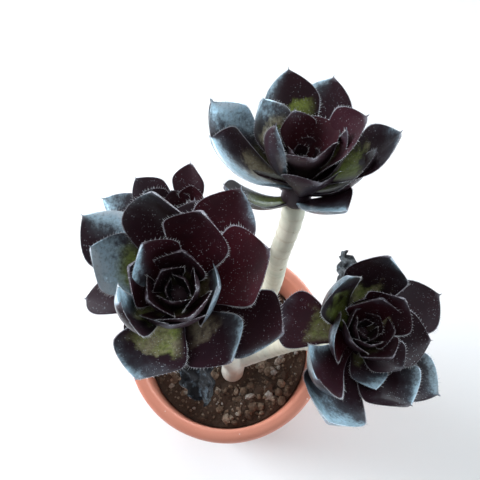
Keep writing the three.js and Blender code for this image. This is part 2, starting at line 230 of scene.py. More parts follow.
# Edge hairs and dry leaves
HAIR_RADIUS, HAIR_ROOT, HAIR_SPACING = 0.1, 0.12, 0.8
HAIRS_FROM, HAIRS_TO, HAIRY_SHARE = 0.36, 0.985, 0.62  # of a leaf's length
HAIR_SLANT = (0.3, 0.5, 0.81)  # a direction that no hair lies along
DRY_ROWS, DRY_RING, DRY_RIPPLE, CRUMPLE = 60, 36, 1.5, 1.3


def colour_setting(name, description, default):
    """A setting that holds one colour."""
    return FloatVectorProperty(
        name=name, description=description, subtype="COLOR", default=default, min=0, max=1)


# Sizes and colours that a user would change
class PotSettings(PropertyGroup):
    sides: IntProperty(name="Sides", description="Points round the pot", default=192, min=48)
    colour: colour_setting("Colour", "Fired-clay colour of the pot", (0.57, 0.21, 0.14))


class SoilSettings(PropertyGroup):
    grains: IntProperty(name="Grains", description="Bits of grit on the soil", default=1500, min=0)
    colour: colour_setting(
        "Colour", "Colour of the damp soil between the grit", (0.050, 0.030, 0.021))


class StemSettings(PropertyGroup):
    scar_spacing: FloatProperty(
        name="Scar spacing", description="Distance from one leaf scar to the next, in millimetres",
        default=7.5, min=3,
    )
    colour: colour_setting("Colour", "Pale bark of the stem", (0.59, 0.54, 0.44))


class LeafSettings(PropertyGroup):
    rows: IntProperty(name="Rows", description="Points along a leaf", default=26, min=12)
    ring: IntProperty(name="Ring", description="Points round a leaf's section", default=24, min=8)
    ripple: FloatProperty(
        name="Ripple", description="Height of the waves along a leaf's edge, in millimetres",
        default=0.55, min=0,
    )
    hair_length: FloatProperty(
        name="Hair length", description="Length of the edge hairs, in millimetres",
        default=1.2, min=0.1,
    )
    dark: colour_setting("Dark", "Near-black purple of the old leaves", (0.018, 0.009, 0.013))
    plum: colour_setting("Plum", "Reddish purple of the young leaves", (0.048, 0.009, 0.015))
    green: colour_setting("Green", "Green near the foot of some leaves", (0.19, 0.24, 0.05))
    # Bluish white of the waxy film, which also paints the sheen on the leaves
    wax: colour_setting("Wax", "Bluish white of the wax on some leaves", (0.50, 0.71, 0.84))


class StudioSettings(PropertyGroup):
    key_power: FloatProperty(
        name="Key light", description="Power of the window light on the left",
        default=25, min=0, unit="POWER",
    )
    top_power: FloatProperty(
        name="Overhead light", description="Power of the wide soft light above",
        default=8, min=0, unit="POWER",
    )
    horizon: FloatProperty(
        name="Horizon", description="Brightness of the light from all round", default=12.0, min=0,
    )
    lens: FloatProperty(
        name="Lens", description="Focal length in millimetres on a 36 mm sensor",
        default=45, min=10,
    )
    floor_colour: colour_setting("Floor", "Colour of the plain floor", (0.95, 0.95, 0.95))


# Mesh building
def turns(count):
    """Angles that divide a full turn into count even steps."""
    return np.arange(count) * 2 * np.pi / count


def unit(vectors):
    """The same directions at length 1."""
    return vectors / np.linalg.norm(vectors, axis=1, keepdims=True)


def walked_along(places, power=1):
    """How far each of a row of places lies from the first: the sum of the gaps' lengths, each
    raised to the power."""
    gaps = np.linalg.norm(np.diff(places, axis=0), axis=1)
    return np.concatenate([[0], np.cumsum(gaps**power)])


def mesh_piece(name, points, faces, smooth=True):
    """A mesh object at the origin from points in millimetres and lists of corner numbers."""
    mesh = bpy.data.meshes.new(name)
    mesh.from_pydata((np.asarray(points).reshape(-1, 3) * MM).tolist(), [], faces)
    mesh.polygons.foreach_set("use_smooth", np.full(len(mesh.polygons), smooth))
    mesh.update()
    piece = bpy.data.objects.new(name, mesh)
    bpy.context.scene.collection.objects.link(piece)
    return piece


def point_values(piece, name, values):
    """Stores one number for each point of the mesh, for a material to read."""
    layer = piece.data.attributes.new(name, "FLOAT", "POINT")
    layer.data.foreach_set("value", np.ascontiguousarray(values, dtype=np.float32).ravel())


def shell_faces(count, rows, ring):
    """Corner numbers of count closed shells.

    Each shell has rows x ring points, run anticlockwise seen from its last row, then one
    point that closes its first row and one that closes its last.
    """
    row, column = np.meshgrid(np.arange(rows - 1), np.arange(ring), indexing="ij")
    here = row * ring + column
    beside = row * ring + (column + 1) % ring
    quads = np.stack([here, beside, beside + ring, here + ring], -1).reshape(-1, 4)
    edge = np.arange(ring)
    after = (edge + 1) % ring
    top = (rows - 1) * ring
    first = np.full(ring, rows * ring)
    fans = np.concatenate([
        np.stack([first, after, edge], -1),
        np.stack([first + 1, top + edge, top + after], -1),
    ])
    starts = np.arange(count)[:, None, None] * (rows * ring + 2)
    return (quads + starts).reshape(-1, 4).tolist() + (fans + starts).reshape(-1, 3).tolist()


def shell_points(grid, first, last):
    """Joins grids (count x rows x ring x 3) and their closing points in shell_faces' order."""
    count = len(grid)
    flat = grid.reshape(count, -1, grid.shape[-1])
    return np.concatenate([flat, first[:, None], last[:, None]], axis=1)


def closed_shell(grid, first, last):
    """The points and faces of one shell, from its grid and its two closing points."""
    points = shell_points(grid[None], np.array([first]), np.array([last]))[0]
    return points, shell_faces(1, *grid.shape[:2])


def copied_faces(faces, corners, count):
    """The faces of count copies of a small shape that has this many corners."""
    starts = corners * np.arange(count)[:, None, None]
    return (np.array(faces) + starts).reshape(-1, 3).tolist()


def turned(profile, sides):
    """A turned shell: each [radius, height] pair carried round the z axis in even steps."""
    radius, height = np.asarray(profile, float).T
    angle = turns(sides)
    rings = np.stack([
        radius[:, None] * np.cos(angle),
        radius[:, None] * np.sin(angle),
        np.broadcast_to(height[:, None], (len(radius), sides)),
    ], -1)
    return closed_shell(rings, (0, 0, height[0]), (0, 0, height[-1]))


def rounded(corners, steps=6):
    """A profile with its corners rounded.

    Each corner is [radius, height, fillet]: it becomes a parabola between the two points that
    lie the fillet's length away from it along its sides, or half a side where that is less.
    """
    corners = np.asarray(corners, float)
    spots, fillets = corners[:, :2], corners[:, 2]
    back = np.roll(spots, 1, axis=0) - spots
    ahead = np.roll(spots, -1, axis=0) - spots
    back[0] = ahead[-1] = 0
    to_back = np.linalg.norm(back, axis=1)
    to_ahead = np.linalg.norm(ahead, axis=1)
    start = spots + back * np.minimum(0.5, fillets / np.maximum(to_back, 1e-9))[:, None]
    end = spots + ahead * np.minimum(0.5, fillets / np.maximum(to_ahead, 1e-9))[:, None]
    share = np.linspace(0, 1, steps)[:, None, None]
    curve = (1 - share) ** 2 * start + 2 * share * (1 - share) * spots + share**2 * end
    return np.swapaxes(curve, 0, 1).reshape(-1, 2)


def apply_modifiers(piece):
    """Gives the piece the mesh that its modifiers make, and takes the modifiers away."""
    shown = piece.evaluated_get(bpy.context.evaluated_depsgraph_get())
    mesh = bpy.data.meshes.new_from_object(shown)
    piece.modifiers.clear()
    piece.data = mesh


def merged(piece, distance=1e-6):
    """Merges the piece's points that coincide and clears away faces left with no area."""
    shape = bmesh.new()
    shape.from_mesh(piece.data)
    bmesh.ops.remove_doubles(shape, verts=shape.verts, dist=distance)
    bmesh.ops.dissolve_degenerate(shape, edges=shape.edges, dist=distance)
    shape.to_mesh(piece.data)
    shape.free()
    return piece


def settle(piece, material, slot, *nodes):
    """Gives a finished piece its material and its body, and hides the nodes it stands for.
    slot is not used.
    """
    piece.data.materials.clear()
    piece.data.materials.append(material)
    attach(piece, "root")
    if nodes:
        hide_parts(*nodes)


# Material building
class Value:
    """What one output of a node gives. Each sum, difference, product, quotient or absolute
    value of it is worked out by one more Math node."""

    def __init__(self, node, output=0):
        self.tree, self.socket = node.id_data, node.outputs[output]

    def __add__(self, other):
        return maths("ADD", self, other)

    def __sub__(self, other):
        return maths("SUBTRACT", self, other)

    def __rsub__(self, other):
        return maths("SUBTRACT", other, self)

    def __mul__(self, other):
        return maths("MULTIPLY", self, other)

    def __truediv__(self, other):
        return maths("DIVIDE", self, other)

    def __abs__(self):
        return maths("ABSOLUTE", self)


def feed(socket, value):
    """Links a Value to a socket, or sets the socket to a plain number, colour or direction."""
    if isinstance(value, Value):
        value.tree.links.new(value.socket, socket)
    elif socket.type == "RGBA":
        socket.default_value = (*value, 1)
    else:
        socket.default_value = value


def put(tree, kind, inputs, **settings):
    """Adds a node, sets its own settings, then feeds its inputs, each by name or number."""
    node = tree.nodes.new(kind)
    for key, value in settings.items():
        setattr(node, key, value)
    for key, value in inputs.items():
        feed(node.inputs[key], value)
    return node


def maths(operation, first, second=0.0, clamp=False):
    """The answer of a Math node; one of the two values may be a plain number."""
    tree = first.tree if isinstance(first, Value) else second.tree
    settings = {"operation": operation, "use_clamp": clamp}
    return Value(put(tree, "ShaderNodeMath", {0: first, 1: second}, **settings))


def stored(tree, name):
    """The number that a piece stores under this name at each of its points."""
    return Value(put(tree, "ShaderNodeAttribute", {}, attribute_name=name), "Fac")


def place_of(tree):
    """Where a point lies in the object's own frame, in metres."""
    return Value(put(tree, "ShaderNodeTexCoord", {}), "Object")


def upwards(way):
    """How high a place lies, or how much of a direction points up."""
    return Value(put(way.tree, "ShaderNodeSeparateXYZ", {0: way}), "Z")


def ramp(value, low, high, start=0.0, end=1.0):
    """start where the value is low, end where it is high, smooth between, steady beyond."""
    inputs = {"Value": value, "From Min": low, "From Max": high, "To Min": start, "To Max": end}
    node = put(value.tree, "ShaderNodeMapRange", inputs, interpolation_type="SMOOTHSTEP")
    return Value(node, "Result")


MIX_SHARE, MIX_FIRST, MIX_SECOND, MIX_RESULT = 0, 6, 7, 2  # a Mix node's sockets for colours


def blend(share, first, second):
    """The first colour where share is 0 and the second where it is 1."""
    inputs = {MIX_SHARE: share, MIX_FIRST: first, MIX_SECOND: second}
    return Value(put(share.tree, "ShaderNodeMix", inputs, data_type="RGBA"), MIX_RESULT)


def noise(place, scale, detail=3.0, rough=0.55):
    """Cloudy noise about 0.5, with scale clouds to the metre and detail finer layers."""
    inputs = {"Vector": place, "Scale": scale, "Detail": detail, "Roughness": rough}
    return Value(put(place.tree, "ShaderNodeTexNoise", inputs), "Fac")


def bump(height, strength, depth):
    """A normal tilted by the slopes of a height, of which 1 stands for depth millimetres."""
    inputs = {"Height": height, "Strength": strength, "Distance": depth * MM}
    return Value(put(height.tree, "ShaderNodeBump", inputs), "Normal")


def dusting_group():
    """The node group of the specks, built once: in each cell a round speck of radius Size,
    kept in the share Amount of the cells, and stronger in some than in others."""
    if "dusting" in bpy.data.node_groups:
        return bpy.data.node_groups["dusting"]
    group = bpy.data.node_groups.new("dusting", "ShaderNodeTree")
    names = "Scale", "Size", "Amount"
    for name in names:
        group.interface.new_socket(name, in_out="INPUT", socket_type="NodeSocketFloat")
    group.interface.new_socket("Mask", in_out="OUTPUT", socket_type="NodeSocketFloat")
    given = group.nodes.new("NodeGroupInput")
    scale, size, amount = (Value(given, name) for name in names)
    cells = put(group, "ShaderNodeTexVoronoi", {"Vector": place_of(group), "Scale": scale})
    near = maths("LESS_THAN", Value(cells, "Distance"), size)
    parted = put(group, "ShaderNodeSeparateColor", {"Color": Value(cells, "Color")})
    kept = maths("LESS_THAN", Value(parted, "Red"), amount)
    mask = near * kept * Value(parted, "Green")
    feed(group.nodes.new("NodeGroupOutput").inputs["Mask"], mask)
    return group


def dusting(tree, scale, size, amount):
    """A mask of fine specks from the node group, with about scale cells to the metre."""
    inputs = {"Scale": scale, "Size": size, "Amount": amount}
    return Value(put(tree, "ShaderNodeGroup", inputs, node_tree=dusting_group()), "Mask")


def new_material(name):
    """An empty node material and its node tree."""
    material = bpy.data.materials.new(name)
    material.use_nodes = True
    return material, material.node_tree


def finished(material, inputs):
    """The material, once its Principled shader's inputs are fed by name."""
    shader = material.node_tree.nodes["Principled BSDF"]
    for name, value in inputs.items():
        feed(shader.inputs[name], value)
    return material


# Finishes, and those of their colours that aren't settings
# Painted shade for the low parts of the inmost leaves
DEEP_SHADE = (0.004, 0.003, 0.004)
RED_GLOW = (0.055, 0.006, 0.011)
LEAF_UNDERSIDE = (0.050, 0.034, 0.042)
STRAW = (0.36, 0.32, 0.21)
# Painted highlight: the whitest part of the painted sheen, where the waxy film is thickest
PAINTED_HIGHLIGHT = (0.76, 0.90, 1.0)
LEAF_EDGE = (0.36, 0.35, 0.40)
LEAF_SPECK = (0.38, 0.43, 0.47)
CHARCOAL, SCUFF = (0.012, 0.012, 0.015), (0.10, 0.13, 0.16)
HAIR_SHADE, HAIR_WHITE = (0.30, 0.30, 0.32), (0.75, 0.78, 0.80)
BARK_GREEN, BARK_TAN = (0.45, 0.45, 0.36), (0.50, 0.40, 0.27)
SCAR_BROWN, BARK_SPECK = (0.40, 0.29, 0.18), (0.30, 0.18, 0.09)
# Painted light for the stem's shaded lower part
PAINTED_LIGHT_BARK = (0.82, 0.83, 0.78)
PALE_CLAY, INSIDE_DARK = (0.63, 0.26, 0.18), (0.16, 0.055, 0.034)
POT_SPECK = (0.75, 0.66, 0.58)
SOIL_SHADOW = (0.030, 0.017, 0.011)
GRIT_GREY = (0.42, 0.41, 0.38)
GRIT_SHADES = {0.35: (0.11, 0.075, 0.053), 0.6: (0.21, 0.15, 0.105), 0.8: (0.36, 0.285, 0.215)}


def leaf_ground(tree, settings, along, upper, mottle):
    """A leaf's colour: dark, with more plum in the heart, red where light shines through, and
    dull plum underneath. Painted shade makes it almost black low down between the inmost
    leaves."""
    plum = ramp(mottle, 0.3, 0.8, 0.0, 0.35)
    plum = maths("ADD", plum, stored(tree, "heart"), clamp=True)
    colour = blend(plum * 0.5, settings.dark, settings.plum)
    # Painted shade, strongest low down on the leaves that grow high on the core
    painted_heart_shade = stored(tree, "deep") * ramp(along, 0.4, 0.95, 1.0, 0.25)
    colour = blend(painted_heart_shade, colour, DEEP_SHADE)
    red = stored(tree, "glow") * ramp(mottle, 0.25, 0.7, 0.55, 1.0)
    colour = blend(red, colour, RED_GLOW)
    return blend((1.0 - upper) * 0.4, colour, LEAF_UNDERSIDE)


def green_patch(tree, settings, upper, mottle, grain, along, across):
    """How much of the green patch shows, and its colour, which ripens from green to straw.
    It lies on the upper face, between the foot and the middle, with a ragged end."""
    patch = stored(tree, "patch")
    middle = ramp(abs(across), 0.35, 0.95, 1.0, 0.0)
    low = (1.0 - along) + mottle * 0.6 + ramp(patch, 0.3, 1.0, -0.08, 0.12)
    share = maths("MULTIPLY", ramp(low, 0.70, 0.82) * middle * patch, upper, clamp=True)
    share = share * ramp(grain, 0.35, 0.6, 0.55, 1.0)
    ripe = ramp(stored(tree, "ripe") + mottle, 0.75, 1.15)
    return share, blend(ripe, settings.green, STRAW)


def leaf_finish(settings):
    """Near-black, waxy leaf, green near the foot of some upper faces, with a bluish waxy
    film that thickens one way and carries a painted sheen, whitest as a painted highlight,
    a pale edge and pale specks."""
    material, tree = new_material("leaf with painted sheen")
    along, across, upper, chance, wax = (
        stored(tree, name) for name in ("along", "across", "upper", "chance", "wax"))
    on_leaf = put(tree, "ShaderNodeCombineXYZ", {0: across * 9.0, 1: along, 2: chance * 40.0})
    streaks = noise(Value(on_leaf), 2.2, 4.0, 0.6)
    mottle = noise(place_of(tree), 130.0, 4.0, 0.6)
    grain = noise(place_of(tree), 700.0, 3.0, 0.7)

    colour = leaf_ground(tree, settings, along, upper, mottle)
    share, fresh = green_patch(tree, settings, upper, mottle, grain, along, across)
    colour = blend(share, colour, fresh)

    # Waxy film with painted sheen lies where the way to its side, made ragged by noise,
    # passes a start that more wax brings nearer; far above the start it is thick
    # and whitens into a painted highlight
    spot = stored(tree, "toward") + (mottle * 0.9 + grain * 0.4 - 0.65)
    above = spot - (0.9 - wax * 1.3)
    haze = ramp(above, 0.0, 1.0, 0.0, 0.14)
    shine = ramp(above, 0.4, 1.0) * ramp(grain, 0.3, 0.55, 0.6, 0.95)
    wax_sheen_share = (haze + shine) * ramp(upper, 0.0, 1.0, 0.45, 1.0)
    # Painted highlight where the painted sheen is thickest
    wax_and_highlight = blend(ramp(above, 0.85, 1.25), settings.wax, PAINTED_HIGHLIGHT)
    colour = blend(wax_sheen_share, colour, wax_and_highlight)

    rim = maths("MAXIMUM", ramp(abs(across), 0.965, 0.99), ramp(along, 0.95, 1.02))
    colour = blend(rim * 0.5, colour, LEAF_EDGE)
    specks = dusting(tree, 1300, 0.22, 0.5) * ramp(mottle, 0.35, 0.6)
    return finished(material, {
        "Base Color": blend(specks, colour, LEAF_SPECK),
        "Metallic": wax_sheen_share * 0.35,
        "Roughness": ramp(wax, 0.0, 0.4, 0.48, 0.28),
        "Specular IOR Level": 0.2,
        "Coat Weight": ramp(above, 0.0, 0.7, 0.02, 0.6),
        "Coat Roughness": 0.25,
        "Normal": bump(streaks * 0.25 + mottle, 0.3, 0.35),
    })


def dry_finish():
    """Charcoal, cracked and dull, with bluish-grey scuffs on its creases."""
    material, tree = new_material("dry leaf")
    crease = noise(place_of(tree), 420.0, 5.0, 0.65)
    return finished(material, {
        "Base Color": blend(ramp(crease, 0.52, 0.68), CHARCOAL, SCUFF),
        "Roughness": 0.6,
        "Normal": bump(crease, 0.8, 0.8),
    })


def hair_finish():
    """White edge hairs, greyer here and there."""
    material, tree = new_material("edge hair")
    shade = noise(place_of(tree), 60.0, 2.0)
    return finished(material, {
        "Base Color": blend(shade, HAIR_SHADE, HAIR_WHITE),
        "Roughness": 0.35,
    })


def stem_finish(settings):
    """Pale bark with brown lines at the leaf scars, grey-green and tan clouding and brown
    specks. Painted light makes it paler from the soil up to a little past the fork, where it
    lies in shade."""
    material, tree = new_material("pale bark")
    place = place_of(tree)
    cloud = noise(place, 55.0, 4.0, 0.6)
    fine = noise(place, 420.0, 4.0, 0.6)
    wander = (cloud - 0.5) * 6.0
    ring = maths("FRACT", (stored(tree, "along") + wander) / settings.scar_spacing)
    scar = ramp(abs(ring - 0.5), 0.0, 0.11, 1.0, 0.0)
    # Painted light: paler from the soil up to a little past the fork, where the stem is shaded
    painted_light = ramp(upwards(place), (FORK[2] + 8) * MM, (FORK[2] + 40) * MM, 0.6, 0.0)
    colour = blend(ramp(cloud, 0.35, 0.7), settings.colour, BARK_GREEN)
    colour = blend(scar * 0.28, colour, SCAR_BROWN)
    colour = blend(ramp(fine, 0.6, 0.8, 0.0, 0.4), colour, BARK_TAN)
    colour = blend(dusting(tree, 170, 0.2, 0.12), colour, BARK_SPECK)
    return finished(material, {
        "Base Color": blend(painted_light, colour, PAINTED_LIGHT_BARK),
        "Roughness": ramp(fine, 0.3, 0.7, 0.55, 0.8),
        "Normal": bump(fine * 0.5 - scar, 0.6, 0.5),
    })


def pot_finish(settings):
    """Smooth clay-coloured plastic with faint clouding, turning lines and pale specks. Its
    inside wall is darker, most of all down by the soil."""
    material, tree = new_material("clay-coloured pot")
    place = place_of(tree)
    height = upwards(place)
    flat = put(tree, "ShaderNodeVectorMath", {0: place, 1: (1, 1, 0)}, operation="MULTIPLY")
    length = put(tree, "ShaderNodeVectorMath", {0: Value(flat)}, operation="LENGTH")
    cloud = noise(place, 38.0, 4.0, 0.6)
    fine = noise(place, 900.0, 3.0, 0.6)
    colour = blend(ramp(cloud, 0.3, 0.75, 0.0, 0.5), settings.colour, PALE_CLAY)

    # The inside wall's radius at each height is wall_radius, worked out by nodes in metres
    slope = (MOUTH_RADIUS - FOOT_RADIUS + WALL) / (POT_HEIGHT - FLOOR)
    wall = height * slope + (FOOT_RADIUS - WALL - FLOOR * slope) * MM
    inside = ramp(Value(length, "Value") - wall, 0.3 * MM, (WALL - 0.5) * MM, 1.0, 0.0)
    down = ramp(height, (SOIL_LEVEL - 4) * MM, (SOIL_LEVEL + 20) * MM, 1.0, 0.25)
    # The inside wall is darker, most of all down by the soil
    colour = blend(inside * down * ramp(cloud, 0.2, 0.8), colour, INSIDE_DARK)

    lines = maths("SINE", height * TURNING_LINES)
    return finished(material, {
        "Base Color": blend(dusting(tree, 260, 0.12, 0.10), colour, POT_SPECK),
        "Roughness": ramp(cloud, 0.3, 0.7, 0.38, 0.52),
        "Normal": bump(lines * 0.05 + fine, 0.18, 0.15),
    })


def soil_finish(settings):
    """Damp soil, and grit whose stored shade runs from dark brown through tan to grey."""
    material, tree = new_material("gritty soil")
    fine = noise(place_of(tree), 700.0, 5.0, 0.7)
    shades = put(tree, "ShaderNodeValToRGB", {"Fac": stored(tree, "shade")})
    stops = shades.color_ramp.elements
    stops[0].color = (*settings.colour, 1)
    stops[1].color = (*GRIT_GREY, 1)
    for spot, colour in GRIT_SHADES.items():
        stops.new(spot).color = (*colour, 1)
    shadow = ramp(fine, 0.35, 0.7, 0.65, 0.0)
    return finished(material, {
        "Base Color": blend(shadow, Value(shades, "Color"), SOIL_SHADOW),
        "Roughness": 0.85,
        "Normal": bump(fine, 0.7, 0.6),
    })


# Pot: the solids' profile with its corners rounded, turned in fine steps, and drilled
def wall_radius(z):
    """The inside wall's radius at a height: it grows evenly from the floor to the mouth."""
    return np.interp(z, [FLOOR, POT_HEIGHT], [FOOT_RADIUS - WALL, MOUTH_RADIUS])


def pot_profile():
    """Corners of the pot's section with their fillets, from the middle of its underside up
    the outside, round the rim's hanging skirt and down the inside to the floor's middle."""
    top, under_rim, skirt_foot = POT_HEIGHT, POT_HEIGHT - RIM_THICK, POT_HEIGHT - SKIRT_DEPTH
    return rounded([
        [0.5, 0, 0],
        [FOOT_RADIUS - 0.2, 0, 1.6],
        [wall_radius(skirt_foot) + WALL, skirt_foot, 2],
        [wall_radius(under_rim - 1) + WALL, under_rim, 1],
        [RIM_RADIUS - WALL, under_rim, 1],
        [RIM_RADIUS - WALL - 1, skirt_foot, 0.5],
        [RIM_RADIUS - 1.2, skirt_foot, 0.6],
        [RIM_RADIUS, top, 4.2],
        [MOUTH_RADIUS, top, 2.4],
        [wall_radius(FLOOR), FLOOR, 2.5],
        [0.5, FLOOR, 0],
    ])


class PLANT_OT_make_pot(Operator):
    """Builds the pot with its turned-out rim and its drain holes"""

    bl_idname = "plant.make_pot"
    bl_label = "Pot"

    def execute(self, context):
        settings = context.scene.aeonium_pot
        points, faces = turned(pot_profile(), settings.sides)
        pot = merged(mesh_piece("pot_shell", points, faces))
        drill, drill_faces = turned([[DRAIN_RADIUS, -FLOOR], [DRAIN_RADIUS, 2 * FLOOR]], 32)
        for angle in turns(DRAIN_COUNT):
            centre = [DRAIN_CIRCLE * np.cos(angle), DRAIN_CIRCLE * np.sin(angle), 0]
            cutter = mesh_piece("drill", drill + centre, drill_faces)
            cut = pot.modifiers.new("drain", "BOOLEAN")
            cut.object, cut.operation, cut.solver = cutter, "DIFFERENCE", "EXACT"
            apply_modifiers(pot)
            bpy.data.objects.remove(cutter)
        pot.data.set_sharp_from_angle(angle=np.radians(SHARP_DEGREES))
        settle(pot, pot_finish(settings), "pot", "pot")
        return {"FINISHED"}


# Soil: an uneven top, and angular grit scattered over it
def soil_height(x, y):
    """Two crossed low swells and one finer slanting one above the soil's level."""
    swell = 1.6 * np.sin(x * 0.11 + 1) * np.cos(y * 0.13)
    return SOIL_LEVEL + swell + 0.9 * np.sin(x * 0.31 - y * 0.27)


def soil_bed(sides=120, rings=46):
    """The plug of soil: rings that close in over its uneven top, with finer waves added, above
    one ring at its foot."""
    edge = wall_radius(SOIL_LEVEL) - SOIL_CLEARANCE
    share = np.linspace(1, 0.02, rings)[:, None]
    angle = turns(sides)
    x, y = edge * share * np.cos(angle), edge * share * np.sin(angle)
    rough = 0.35 * np.sin(x * 1.9 + 1.3 * np.sin(y * 1.1)) * np.cos(y * 2.3 + np.sin(x * 0.9))
    top = np.stack([x, y, soil_height(x, y) + rough], -1)
    foot = FLOOR + FIT_GAP
    under = np.stack([x[:1] * SOIL_FOOT, y[:1] * SOIL_FOOT, np.full((1, sides), foot)], -1)
    return closed_shell(np.concatenate([under, top]), (0, 0, foot), (0, 0, soil_height(0, 0)))


def icosahedron():
    """The twelve corners and twenty faces of a unit icosahedron."""
    golden = (1 + 5**0.5) / 2
    corners = np.array([
        (-1, golden, 0), (1, golden, 0), (-1, -golden, 0), (1, -golden, 0),
        (0, -1, golden), (0, 1, golden), (0, -1, -golden), (0, 1, -golden),
        (golden, 0, -1), (golden, 0, 1), (-golden, 0, -1), (-golden, 0, 1),
    ]) / np.hypot(1, golden)
    faces = [
        (0, 11, 5), (0, 5, 1), (0, 1, 7), (0, 7, 10), (0, 10, 11),
        (1, 5, 9), (5, 11, 4), (11, 10, 2), (10, 7, 6), (7, 1, 8),
        (3, 9, 4), (3, 4, 2), (3, 2, 6), (3, 6, 8), (3, 8, 9),
        (4, 9, 5), (2, 4, 11), (6, 2, 10), (8, 6, 7), (9, 8, 1),
    ]
    return corners, faces


def grit(count):
    """Bits of grit: icosahedra whose corners are pushed in and out, squashed, turned about z
    and set by the golden angle with some scatter, at sizes that favour the small."""
    draw = np.random.default_rng(23)
    corners, faces = icosahedron()
    spot = np.arange(count)
    reach = (wall_radius(SOIL_LEVEL) - GRIT_MARGIN) * np.sqrt((spot + 0.5) / count)
    angle = spot * GOLDEN_ANGLE + draw.normal(0, 0.05, count)
    x, y = reach * np.cos(angle), reach * np.sin(angle)
    size = GRIT_LEAST + GRIT_SPREAD * draw.random(count) ** 5
    keep = np.hypot(x - TRUNK_X, y - TRUNK_Y) > TRUNK_RADIUS + size
    x, y, size = x[keep], y[keep], size[keep]
    count = len(size)
    knocks = draw.uniform(0.72, 1.15, (count, len(corners), 1))
    bits = corners[None] * knocks * size[:, None, None]
    bits = bits * np.stack([np.ones(count), draw.uniform(0.6, 1, count),
                            draw.uniform(0.5, 0.85, count)], -1)[:, None]
    turn = draw.uniform(0, np.pi, count)[:, None]
    bits = np.stack([
        bits[..., 0] * np.cos(turn) - bits[..., 1] * np.sin(turn),
        bits[..., 0] * np.sin(turn) + bits[..., 1] * np.cos(turn),
        bits[..., 2],
    ], -1)
    centre = np.stack([x, y, soil_height(x, y) + size * 0.25], -1)
    points = bits + centre[:, None]
    shade = np.clip(draw.normal(0.36, 0.26, count) + 0.09 * size, 0, 1)
    return points, copied_faces(faces, len(corners), count), np.repeat(shade, len(corners))


class PLANT_OT_make_soil(Operator):
    """Builds the soil's uneven bed and the grit on it"""

    bl_idname = "plant.make_soil"
    bl_label = "Soil"

    def execute(self, context):
        settings = context.scene.aeonium_soil
        finish = soil_finish(settings)
        points, faces = soil_bed()
        bed = mesh_piece("soil_bed", points, faces)
        point_values(bed, "shade", np.full(len(points), BED_SHADE))
        settle(bed, finish, "soil", "soil")
        points, faces, shade = grit(settings.grains)
        bits = mesh_piece("soil_grit", points, faces, smooth=False)
        point_values(bits, "shade", shade)
        settle(bits, finish, "soil", "soil")
        return {"FINISHED"}


# Stem: a tube for the trunk and one for each branch, melted into one skin
def frame_of(head):
    """A head's turning matrix and foot: its axis leans from upright towards one direction."""
    lean, toward = np.radians(head["lean"]), np.radians(head["toward"])
    hinge = np.array([-np.sin(toward), np.cos(toward), 0])
    cross = np.array([
        [0, -hinge[2], hinge[1]], [hinge[2], 0, -hinge[0]], [-hinge[1], hinge[0], 0],
    ])
    turn = np.eye(3) + np.sin(lean) * cross + (1 - np.cos(lean)) * cross @ cross
    return turn, np.array(head["foot"], float)


def between(now, start, end, first, second):
    """Where a straight run is now that is at first at the start and at second at the end."""
    return ((end - now) * first + (now - start) * second) / (end - start)


def curve_through(places, per_span=60, samples=120):
    """A smooth curve through the places: a centripetal Catmull-Rom spline, whose knots are
    as far apart as the square roots of the gaps between places. Each of its points blends
    straight runs through four places in turn, three runs to two and two to one. It is then
    taken again at even steps of its length."""
    places = np.array(places, float)
    places = np.vstack([2 * places[0] - places[1], places, 2 * places[-1] - places[-2]])
    knots = walked_along(places, 0.5)
    spans = len(places) - 3
    span = np.repeat(np.arange(spans), per_span)
    share = np.tile(np.linspace(0, 1, per_span), spans)[:, None]
    time = [knots[span + k][:, None] for k in range(4)]
    spot = [places[span + k] for k in range(4)]
    now = time[1] + (time[2] - time[1]) * share
    three = [between(now, time[k], time[k + 1], spot[k], spot[k + 1]) for k in range(3)]
    two = [between(now, time[k], time[k + 2], three[k], three[k + 1]) for k in range(2)]
    line = between(now, time[1], time[2], *two)
    walked = walked_along(line)
    even = np.linspace(0, walked[-1], samples)
    return np.stack([np.interp(even, walked, line[:, k]) for k in range(3)], -1), even


def tube(line, radius, ring=28):
    """A round tube: a circle of the given radius carried along the line, square to it."""
    ahead = unit(np.gradient(line, axis=0))
    side = unit(np.cross(ahead, [1.0, 0, 0]))[:, None]
    other = np.cross(ahead[:, None], side)
    angle = turns(ring)[None, :, None]
    around = np.cos(angle) * side + np.sin(angle) * other
    grid = line[:, None] + radius[:, None, None] * around
    return closed_shell(grid, line[0], line[-1])


def scar_swell(walked, spacing):
    """What to multiply a limb's radius by: a cosine wave from 1 up to 1 + SCAR_SWELL, whose
    crests are the leaf scars."""
    return 1 + SCAR_SWELL * (0.5 - 0.5 * np.cos(walked * 2 * np.pi / spacing))


def stem_lines(spacing):
    """Every limb's middle line, the length walked along it, and its radius there.

    A limb tapers evenly and swells at each leaf scar in a smooth wave, and a branch flares at
    its end to fit the foot of its head.
    """
    trunk = [(TRUNK_X, TRUNK_Y, TRUNK_FOOT), (TRUNK_X, TRUNK_Y, SOIL_LEVEL), FORK, TRUNK_TOP]
    line, walked = curve_through(trunk)
    share = walked / walked[-1]
    limbs = [(line, walked, TRUNK_RADIUS * (0.94 - 0.14 * share))]
    for name, branch in BRANCHES.items():
        turn, foot = frame_of(HEADS[name])
        axis = turn[:, 2]
        ends = foot - HEAD_RUN * axis, foot + HEAD_SINK * axis
        line, walked = curve_through([*branch["through"], *ends])
        share = walked / walked[-1]
        thick, thin = branch["thick"]
        flare = (HEADS[name]["neck"] - thin) * share**6
        limbs.append((line, walked, thick + (thin - thick) * share + flare))
    return [(line, walked, radius * scar_swell(walked, spacing)) for line, walked, radius in limbs]


